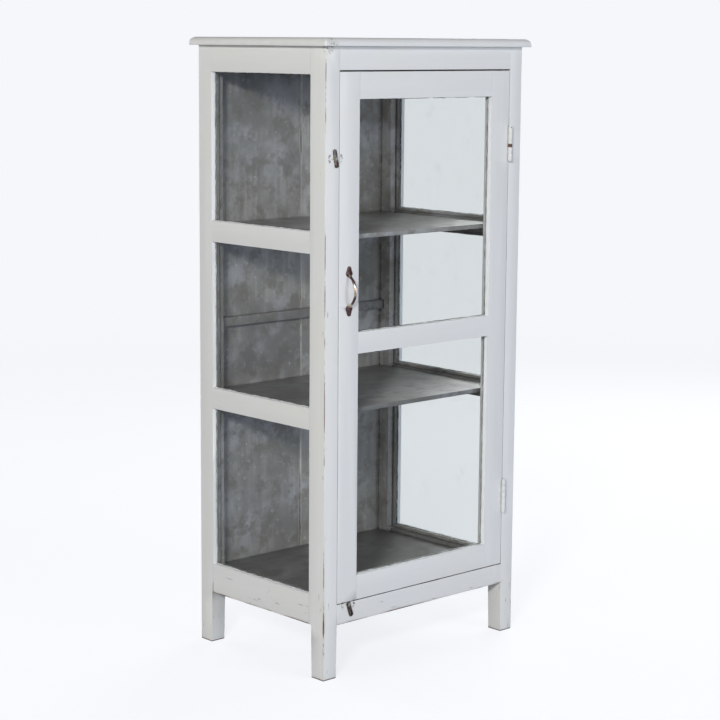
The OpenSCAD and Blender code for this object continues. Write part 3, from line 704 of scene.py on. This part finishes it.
def wear_at(at):
    """How much the paint is knocked: most at the feet, then at the low rails and the front left corner."""
    everywhere, foot_height, corner_reach, knee_height = 0.16, 22 * MM, 6 * MM, 400 * MM
    foot = max(0.0, 1 - at.z / foot_height)
    low_rails = max(0.0, min(1.0, (RAIL_TOP + 30 * MM - at.z) / (60 * MM)))
    from_corner = Vector((at.x - LEFT, at.y - FRONT)).length
    corner = max(0.0, 1 - from_corner / corner_reach) * (0.5 + 0.8 * max(0.0, 1 - at.z / knee_height))
    under_rail = 0.5 * (abs(at.z - RAIL_UNDER) < 3 * MM)
    return min(1.0, everywhere + 0.9 * foot + 0.42 * low_rails + corner + under_rail)


def all_outside(_):
    return Vector((-FAR, -FAR, -FAR))


def all_inside(_):
    return Vector((FAR, FAR, FAR))


def planed_piece(name, shape, along, bend=BEND, body="cabinet"):
    """Bends the shape a little and makes it the painted piece that stands for its CAD node."""
    cut_across(shape, along)
    hand_planed(shape, bend)
    return finish_mesh(name + "_wood", shape, PAINT, body, [name])


# ---------- wooden frame ----------

def side_depth(at, right):
    """How far a point is inside the glass line of its side frame."""
    return (RIGHT - GLASS_DEPTH - at.x) if right else (at.x - LEFT - GLASS_DEPTH)


def back_depth(at, margin):
    """How far a point is inside the back boards' front, or nowhere near for the outside of the back."""
    return BOARD_FRONT + margin - at.y if at.y < BOARD_FRONT + margin + 1 * MM else -FAR


def post(name, right, depth_of, tone):
    """A post and its leg: round on the cabinet's own corner, crisp elsewhere, and soft at the foot."""
    shape = copy_of(name)
    ease_edges(shape, CORNER_ROUND, "z", where=on_body_corner)
    ease_edges(shape, FINE_ROUND, "z")
    soften_feet(shape)
    piece = planed_piece(name, shape, "z", POST_BEND)
    low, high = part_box(name)
    write_paint_data(piece, low, high, lambda at: Vector((side_depth(at, right), depth_of(at),
                     at.z - FLOOR_UNDER)), "z", True, tone)


# the last number in front_post and rear_post is the post's painted light level: painted light that brightens
# its inside paint
def front_post(name, right):
    post(name, right, lambda at: at.y - DOOR_BACK, 1.15)


def rear_post(name, right):
    post(name, right, lambda at: back_depth(at, 1 * MM), 2.6 if right else 1.35)


def side_rail(name, right):
    shape = copy_of(name)
    ease_edges(shape, RAIL_ROUND, "y")
    piece = planed_piece(name, shape, "y")
    low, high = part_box(name)
    side = "right" if right else "left"
    low.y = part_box(f"front_{side}_post")[1].y
    high.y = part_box(f"rear_{side}_post")[0].y
    bottom = name.endswith("bottom_rail")
    write_paint_data(piece, low, high, lambda at: Vector((side_depth(at, right), FAR,
                     at.z - FLOOR_UNDER if bottom else FAR)), "y", False)


def front_rail(name):
    shape = copy_of(name)
    ease_edges(shape, RAIL_ROUND, "x")
    piece = planed_piece(name, shape, "x")
    low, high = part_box(name)
    low.x, high.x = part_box("front_left_post")[1].x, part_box("front_right_post")[0].x
    write_paint_data(piece, low, high, lambda at: Vector((FAR, at.y - DOOR_BACK - 0.5 * MM,
                     at.z - FLOOR_UNDER)), "x", False)


def plain_board(name, along, tone=1.0, rounding=RAIL_ROUND, bend=BEND):
    """A board or batten inside the cabinet, with eased edges and grey paint brushed along it."""
    shape = copy_of(name)
    ease_edges(shape, rounding)
    piece = planed_piece(name, shape, along, bend)
    low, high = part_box(name)
    write_paint_data(piece, low, high, all_inside, along, True, tone)


def door_beads():
    """The beads behind the door's panes, white like the door."""
    shape = copy_of("door_glazing_beads")
    ease_edges(shape, BEAD_ROUND)
    piece = planed_piece("door_glazing_beads", shape, "z", BEAD_BEND, body="door")
    low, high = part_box("door_glazing_beads")
    write_paint_data(piece, low, high, all_outside, "z", True)


def back_board(name, seam_side, tone):
    """A board whose paint bridges its seams; the middle seam still shows as a line of filler and cracks."""
    shape = copy_of(name)
    low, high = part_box(name)
    for vertex in shape.verts:
        for plane, way in ((low.x, -1), (high.x, 1)):
            at_seam = abs(vertex.co.x - plane) < 0.1 * MM and abs(plane) < RIGHT - 50 * MM
            vertex.co.x += way * 0.49 * MM * at_seam
    ease_edges(shape, RAIL_ROUND, "z", where=lambda at: at.y > BACK - 0.1 * MM)
    cut_across(shape, "z")
    piece = finish_mesh(name + "_wood", shape, PAINT, "cabinet", [name], smooth=False)
    write_paint_data(piece, low, high, lambda at: Vector((FAR, back_depth(at, 3 * MM), FAR)), "z", True, tone)

    # only the middle seam counts as an edge, for the chips and for the cracks
    seam = high.x if seam_side > 0 else low.x
    points = [vertex.co for vertex in piece.data.vertices]
    to_seam = [abs(at.x - seam) if seam_side else FAR for at in points]
    for layer, corner, way in (("from_low", low, -1), ("from_high", high, 1)):
        gaps = [way * (corner - at) for at in points]
        for gap, distance in zip(gaps, to_seam):
            gap.x = distance if way == seam_side else FAR
        store(piece, layer, gaps)
    store(piece, "shoulder", to_seam)
    store(piece, "wear", [1.0 if at.y < BOARD_FRONT + 1 * MM else 0.3 for at in points])


def top_board():
    """The moulded top: a thumbnail round above a short upright edge."""
    low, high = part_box("top_board")
    chamfer, upright, round_width, round_steps = 1.0 * MM, 5.5 * MM, 13 * MM, 9
    levels = [(0.0, chamfer), (chamfer, 0.0), (upright, 0.0)]
    for i in range(1, round_steps + 1):
        angle = math.radians(90) * i / round_steps
        levels.append((upright + (high.z - low.z - upright) * math.sin(angle),
                       round_width * (1 - math.cos(angle))))
    shape = bmesh.new()
    corners = [(low.x, low.y), (high.x, low.y), (high.x, high.y), (low.x, high.y)]
    rings = []
    for height, inset in levels:
        ring = []
        for (x, y), (dx, dy) in zip(corners, ((1, 1), (-1, 1), (-1, -1), (1, -1))):
            ring.append(shape.verts.new((x + dx * inset, y + dy * inset, low.z + height)))
        rings.append([shape.edges.new((ring[i], ring[(i + 1) % 4])) for i in range(4)])
    for first, second in zip(rings, rings[1:]):
        bmesh.ops.bridge_loops(shape, edges=first + second)
    for ring in (rings[0], rings[-1]):
        bmesh.ops.contextual_create(shape, geom=ring)
    close_up(shape)
    upright_corners = [e for e in shape.edges if len(e.link_faces) == 2
                       and abs((e.verts[0].co - e.verts[1].co).normalized().z) > 0.05
                       and e.calc_face_angle(0) > math.radians(30)]
    bmesh.ops.bevel(shape, geom=upright_corners, offset=3.5 * MM, segments=4, profile=0.5,
                    affect="EDGES", material=-1, clamp_overlap=True)
    cut_across(shape, "x")
    piece = planed_piece("top_board", shape, "y")
    write_paint_data(piece, low, high, all_outside, "x", True)


# ---------- door ----------

def door_depth(at):
    """How near a point of the door's front is to its glass; nowhere near for the back of the door."""
    depth = min(at.y - DOOR_GLASS, -2.5 * MM) if at.y < DOOR_GLASS + 1 * MM else -FAR
    return Vector((FAR, FAR, depth))


def door_member(name, along):
    shape = copy_of(name)
    ease_edges(shape, RIM_ROUND, "xz", where=on_door_rim)
    ease_edges(shape, FINE_ROUND, along)
    # the two roundings meet in faces without area
    bmesh.ops.dissolve_degenerate(shape, dist=0.02 * MM, edges=shape.edges)
    piece = planed_piece(name, shape, along, body="door")
    low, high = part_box(name)
    if name.endswith("rail"):
        low.x, high.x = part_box("door_lock_stile")[1].x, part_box("door_hinge_stile")[0].x
    write_paint_data(piece, low, high, door_depth, along, along == "z")


# ---------- glass ----------

def pane(name, body):
    """A sheet of glass that knows how far each point is from its own edges."""
    low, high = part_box(name)
    piece = finish_mesh(name + "_glass", copy_of(name), GLASS, body, [name], smooth=False)
    thin = 0 if high.x - low.x < high.y - low.y else 1
    for layer, corner, way in (("from_low", low, 1), ("from_high", high, -1)):
        gaps = [way * (vertex.co - corner) for vertex in piece.data.vertices]
        for gap in gaps:
            gap[thin] = FAR
        store(piece, layer, gaps)


# ---------- hardware ----------

def carry_over(name, material):
    """A CAD node whose shape is right, with its own finish."""
    data = frame["nodes"][name].data
    data.materials.clear()
    data.materials.append(material)


def set_down(shape, face, turn, centre):
    """Gives a face its side walls and a back at zero depth, then turns it and moves it to its place."""
    edges = [e for e in shape.edges if e.is_boundary and e.verts[0] in face]
    sides = bmesh.ops.extrude_edge_only(shape, edges=edges)["geom"]
    foot = [g for g in sides if isinstance(g, bmesh.types.BMVert)]
    for vertex in foot:
        vertex.co.y = 0
    rim_edges = [g for g in sides if isinstance(g, bmesh.types.BMEdge) and g.is_boundary]
    bmesh.ops.contextual_create(shape, geom=rim_edges)
    everything = face + foot
    bmesh.ops.rotate(shape, verts=everything, matrix=Matrix.Rotation(turn, 3, "Y"))
    bmesh.ops.translate(shape, verts=everything, vec=centre)
    return everything


def domed_plate(shape, centre, length, half_width, thickness, dome, slant=0.0, columns=8, rows=18):
    """Adds a plate on the front, with its width given along its height and its face domed towards its edges."""
    face = bmesh.ops.create_grid(shape, x_segments=columns, y_segments=rows, size=1.0)["verts"]
    for vertex in face:
        across, along = vertex.co.x, vertex.co.y
        rim = max(abs(across), abs(along)) ** 4
        vertex.co = Vector((across * half_width(along), -thickness - dome * (1 - across ** 2) * (1 - rim),
                            along * length / 2))
    everything = set_down(shape, face, slant, centre)
    bmesh.ops.remove_doubles(shape, verts=everything, dist=0.001 * MM)


def rounded(position, width, end):
    """A half width that keeps its value and closes in an arc over the last stretch of the length."""
    reach = max(0.0, (abs(position) - (1 - end)) / end)
    return width * math.sqrt(max(0.0, 1 - reach ** 2)) + 0.05 * MM


def slotted_head(shape, centre, radius, height, turn):
    """Adds a round screw head with a straight slot."""
    rows, slot_half = 15, 0.1
    face = bmesh.ops.create_grid(shape, x_segments=rows, y_segments=rows, size=1.0)["verts"]
    for vertex in face:
        u, v = vertex.co.x, vertex.co.y
        in_slot = abs(v) < slot_half
        if slot_half < abs(v) < 2.5 * slot_half:
            # the rows beside the slot close up to it, so that its walls are steep
            v = math.copysign(1.1 * slot_half, v)
        x, z = u * math.sqrt(1 - v * v / 2), v * math.sqrt(1 - u * u / 2)
        lift = height * (0.35 + 0.65 * math.sqrt(max(0.0, 1 - (x * x + z * z) * 0.98)))
        vertex.co = Vector((x * radius, -(height * 0.25 if in_slot else lift), z * radius))
    set_down(shape, face, turn, centre)


def wood_shank(shape, centre, radius, length):
    """Adds the plain shank of a screw that runs back from its head."""
    turned = Matrix.Translation(centre + Vector((0, length / 2, 0))) @ Matrix.Rotation(math.radians(90), 4, "X")
    bmesh.ops.create_cone(shape, cap_ends=True, segments=16, radius1=radius * 0.35, radius2=radius,
                          depth=length, matrix=turned)


def pull_plates(centre, span, width, thickness):
    """The pointed end plates under the ends of the bow."""
    length = 24 * MM
    shape = bmesh.new()
    for way in (1, -1):

        def half_width(along):
            outward = (along * way + 1) / 2
            inner = 0.55 + 0.45 * min(1.0, outward / 0.3)
            outer = 1 - 0.55 * max(0.0, outward - 0.3) / 0.6
            return rounded(along, width / 2 * min(inner, outer), 0.22)

        middle_of_plate = centre + Vector((0, 0, way * (span - length) / 2))
        domed_plate(shape, middle_of_plate, length, half_width, thickness, 1.1 * MM)
    close_up(shape)
    finish_mesh("pull_plates", shape, BRONZE, "door", ["door_pull"])


def pull_bow(centre, front):
    """A bow that thins towards two round collars. It is part of a ring whose centre lies behind the face."""
    thickest, foot_depth, half_span = 3.1 * MM, 1.25 * MM, 33.5 * MM
    reach = centre.y - front - thickest
    rise = reach - foot_depth
    ring = (half_span ** 2 + rise ** 2) / (2 * rise)
    half_angle = math.asin(half_span / ring)
    hub = centre + Vector((0, ring - reach, 0))
    shape = bmesh.new()
    first = Matrix.Translation(hub) @ Matrix.Rotation(-half_angle, 4, "X")
    first = first @ Matrix.Translation((0, -ring, 0))
    circle = bmesh.ops.create_circle(shape, segments=20, radius=thickest, matrix=first)["verts"]
    loop = [e for e in shape.edges if e.verts[0] in circle]
    bmesh.ops.contextual_create(shape, geom=loop)
    bmesh.ops.spin(shape, geom=shape.faces[:], cent=hub, axis=(1, 0, 0), angle=2 * half_angle, steps=64,
                   use_merge=False, use_duplicate=False)
    for vertex in shape.verts:
        spoke = vertex.co - hub
        angle = math.atan2(spoke.z, -spoke.y)
        share = min(1.0, abs(angle) / half_angle)
        core = hub + Vector((0, -math.cos(angle), math.sin(angle))) * ring
        size = 1 - 0.09 * math.sin(math.pi / 2 * min(1.0, share / 0.72)) ** 2
        size += 0.30 * math.exp(-((share - 0.90) / 0.045) ** 2) + 0.25 * max(0.0, share - 0.93) / 0.07
        vertex.co = core + (vertex.co - core) * size
    close_up(shape)
    bow = finish_mesh("pull_bow", shape, RUBBED_BOW, "door")
    shares = [abs(vertex.co.z - centre.z - 3 * MM) / half_span for vertex in bow.data.vertices]
    store(bow, "rubbed", [max(1 - share * 1.7, (share - 0.82) * 5) for share in shares])


def bow_pull():
    """The door's handle with its two screws."""
    low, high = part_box("door_pull")
    centre = Vector(((low.x + high.x) / 2, FRONT, (low.z + high.z) / 2))
    plate_thickness = 1.6 * MM
    pull_plates(centre, high.z - low.z, high.x - low.x, plate_thickness)
    pull_bow(centre, low.y)
    shape = bmesh.new()
    for way in (1, -1):
        head = centre + Vector((0, -plate_thickness - 0.7 * MM, way * 43.1 * MM))
        slotted_head(shape, head, 3.4 * MM, 1.1 * MM, 0.5 + way)
        wood_shank(shape, head, 1.8 * MM, 16 * MM)
    close_up(shape)
    finish_mesh("pull_screw_heads", shape, BRONZE, "door", ["pull_screws"])


def turn_button(name, pivot, slant, drop, rise, flare):
    """A worn, domed bar on one screw, its lower end a little wider than its upper one."""

    def half_width(along):
        return rounded(along, (5.5 - 0.9 * flare * max(0.0, along)) * MM, 0.16)

    shape = bmesh.new()
    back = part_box(name)[1].y
    offset = Matrix.Rotation(slant, 3, "Y") @ Vector((0, 0, (rise - drop) / 2))
    domed_plate(shape, Vector((pivot.x, back, pivot.z)) + offset, drop + rise, half_width, 1.7 * MM, 1.3 * MM,
                slant)
    close_up(shape)
    finish_mesh(name + "_bar", shape, BLACKENED, name, [name])


def turn_buttons():
    """The two buttons: each one's slant, its reach below and above its screw, and its flare."""
    buttons = (
        ("upper_turn_button", -10.5, 20.5 * MM, 20.5 * MM, 1.0),
        ("lower_turn_button", -18.5, 29.5 * MM, 5.5 * MM, 0.3),
    )
    shape = bmesh.new()
    for pivot, (name, slant, drop, rise, flare) in zip(BUTTON_PIVOTS, buttons):
        turn_button(name, pivot, math.radians(slant), drop, rise, flare)
        head = Vector((pivot.x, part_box(name)[0].y, pivot.z))
        slotted_head(shape, head, 3.7 * MM, 1.7 * MM, 0.35)
        wood_shank(shape, head, 2.0 * MM, 17 * MM)
    close_up(shape)
    finish_mesh("button_screw_heads", shape, STEEL, "cabinet", ["button_screws"])


def hinges():
    """The CAD hinges with softened rims under their coat of paint."""
    for end in ("upper", "lower"):
        for part, body in (("frame_leaf", "cabinet"), ("door_leaf", "door"), ("pin", "cabinet")):
            name = f"{end}_hinge_{part}"
            shape = copy_of(name)
            sharp = [e for e in shape.edges if len(e.link_faces) == 2
                     and e.calc_face_angle_signed(0) > math.radians(50)]
            bmesh.ops.bevel(shape, geom=sharp, offset=0.3 * MM, segments=2, profile=0.5, affect="EDGES",
                            material=-1, clamp_overlap=True)
            finish_mesh(name + "_painted", shape, HINGE_PAINT, body, [name])


# ---------- the cabinet ----------

for side, right in (("left", False), ("right", True)):
    front_post(f"front_{side}_post", right)
    rear_post(f"rear_{side}_post", right)
    for level in ("top", "upper", "lower", "bottom"):
        side_rail(f"{side}_{level}_rail", right)
    for level in ("upper", "middle", "lower"):
        pane(f"{side}_{level}_pane", "cabinet")
    # 1.3 is the side beads' painted light level: painted light that brightens their inside paint
    plain_board(f"{side}_glazing_beads", "z", 1.3, BEAD_ROUND, BEAD_BEND)
for level in ("top", "bottom"):
    front_rail(f"front_{level}_rail")
    plain_board(f"rear_{level}_rail", "x")
top_board()
# the last number is each back board's painted light level: painted light that brightens its inside paint
for i, seam_side, tone in ((1, 0, 1.45), (2, 1, 1.45), (3, -1, 1.85), (4, 0, 2.2)):
    back_board(f"back_board_{i}", seam_side, tone)
# 1.35 is the batten's painted light level: painted light that brightens its inside paint
plain_board("back_batten", "x", 1.35)
plain_board("door_stop", "x")
# each number is that board's painted light level: painted light and shade that brightens the upper shelf and
# darkens the floor
for name, tone in (("upper_shelf", 1.65), ("lower_shelf", 1.0), ("floor_board", 0.70)):
    plain_board(name, "x", tone)
for name in ("shelf_cleats", "floor_cleats"):
    plain_board(name, "y")
door_member("door_lock_stile", "z")
door_member("door_hinge_stile", "z")
for level in ("top", "middle", "bottom"):
    door_member(f"door_{level}_rail", "x")
pane("door_upper_pane", "door")
pane("door_lower_pane", "door")
door_beads()
carry_over("top_dowels", BEECH)
for name in ("back_nails", "hinge_frame_screws", "hinge_door_screws"):
    carry_over(name, STEEL)
bow_pull()
turn_buttons()
hinges()


# ---------- floor, light and camera ----------

PALE = (0.915, 0.93, 0.965)
LAMPS = (
    ("high_left_window", (-4.7, -3.4, 2.75), (0.9, 0.6), 236, (1.0, 0.98, 0.95)),
    ("front_window", (1.1, -4.7, 1.9), (1.6, 0.8), 44, (0.97, 0.98, 1.0)),
    ("low_front_window", (0.9, -4.6, 1.0), (3.0, 0.6), 33, (0.86, 0.91, 1.0)),
    ("skylight_low", (0.8, -3.4, 0.30), (2.5, 0.4), 9, (0.27, 0.47, 1.0)),
    ("left_fill", (-4.2, -0.6, 1.5), (2.4, 1.8), 20, (1.0, 0.97, 0.91)),
    ("right_window", (4.3, 0.2, 1.8), (1.8, 1.4), 40, (1.0, 0.99, 0.97)),
    ("rear_right_window", (3.4, 1.8, 1.9), (1.6, 1.6), 42, (1.0, 1.0, 1.0)),
    ("rear_window", (-0.8, 4.6, 1.9), (1.8, 1.4), 46, (1.0, 1.0, 1.0)),
    ("ceiling", (0.2, 0.3, 3.6), (2.5, 2.5), 5, (1.0, 1.0, 1.0)),
)


def studio():
    """A pale floor that fades out round the cabinet, a pale surround and soft lamps."""
    shape = bmesh.new()
    bmesh.ops.create_circle(shape, cap_ends=True, segments=96, radius=9.0)
    mesh = bpy.data.meshes.new("studio_floor")
    shape.to_mesh(mesh)
    shape.free()
    floor = bpy.data.objects.new("studio_floor", mesh)
    bpy.context.scene.collection.objects.link(floor)
    material, tree, surface, out = start_material("studio_floor")
    ray = shader_node(tree, "ShaderNodeLightPath").outputs["Is Camera Ray"]
    glow = maths(tree, "MULTIPLY_ADD", ray, 0.57, 0.28)
    plug(tree, surface, Base_Color=(0.20, 0.205, 0.215, 1), Roughness=0.9,
         Emission_Color=(*PALE, 1), Emission_Strength=glow)
    reach = shader_node(tree, "ShaderNodeVectorMath", {0: object_place(tree)}, operation="LENGTH")
    gone = shader_node(tree, "ShaderNodeBsdfTransparent").outputs[0]
    fading = fade(tree, reach.outputs["Value"], 1.2, 5.5)
    tree.links.new(mix_surfaces(tree, fading, surface.outputs[0], gone), out.inputs["Surface"])
    mesh.materials.append(material)

    # a pale surround that gives less light from above than from the sides
    world = bpy.data.worlds.new("studio")
    bpy.context.scene.world = world
    world.use_nodes = True
    tree = world.node_tree
    tree.nodes.clear()
    height = parts_of(tree, shader_node(tree, "ShaderNodeTexCoord").outputs["Generated"])["Z"]
    strength = maths(tree, "MULTIPLY_ADD", fade(tree, height, 0.05, 0.75), -0.10, 0.18)
    seen = shader_node(tree, "ShaderNodeBackground", {"Color": (*PALE, 1), "Strength": 1.0})
    light = shader_node(tree, "ShaderNodeBackground", {"Color": (0.95, 0.97, 1.0, 1), "Strength": strength})
    ray = shader_node(tree, "ShaderNodeLightPath").outputs["Is Camera Ray"]
    mixed = mix_surfaces(tree, ray, light.outputs[0], seen.outputs[0])
    shader_node(tree, "ShaderNodeOutputWorld", {"Surface": mixed})

    for name, place, size, watts, colour in LAMPS:
        lamp = bpy.data.lights.new(name, "AREA")
        lamp.shape, lamp.size, lamp.size_y = "RECTANGLE", size[0], size[1]
        lamp.energy, lamp.color = watts, colour
        holder = bpy.data.objects.new(name, lamp)
        bpy.context.scene.collection.objects.link(holder)
        holder.location = place
        aim = Vector((0, 0, 0.75)) - holder.location
        holder.rotation_euler = aim.to_track_quat("-Z", "Y").to_euler()


def camera():
    """Stands in front of the left corner at head height, looking right and a little down."""
    focal_length, sensor_width = 98.24, 36.0
    from_corner = Vector((-2.7703, -3.0928, 1.3907))
    heading, down, roll = math.radians(42.895), math.radians(9.217), math.radians(0.428)
    lens = bpy.data.cameras.new("camera")
    lens.lens, lens.sensor_width = focal_length, sensor_width
    holder = bpy.data.objects.new("camera", lens)
    bpy.context.scene.collection.objects.link(holder)
    holder.location = Vector((LEFT, FRONT, 0)) + from_corner
    holder.rotation_euler = (
        Matrix.Rotation(-heading, 4, "Z") @ Matrix.Rotation(math.radians(90) - down, 4, "X")
        @ Matrix.Rotation(roll, 4, "Z")
    ).to_euler()
    bpy.context.scene.camera = holder


studio()
camera()
bpy.context.scene.view_settings.view_transform = "Standard"
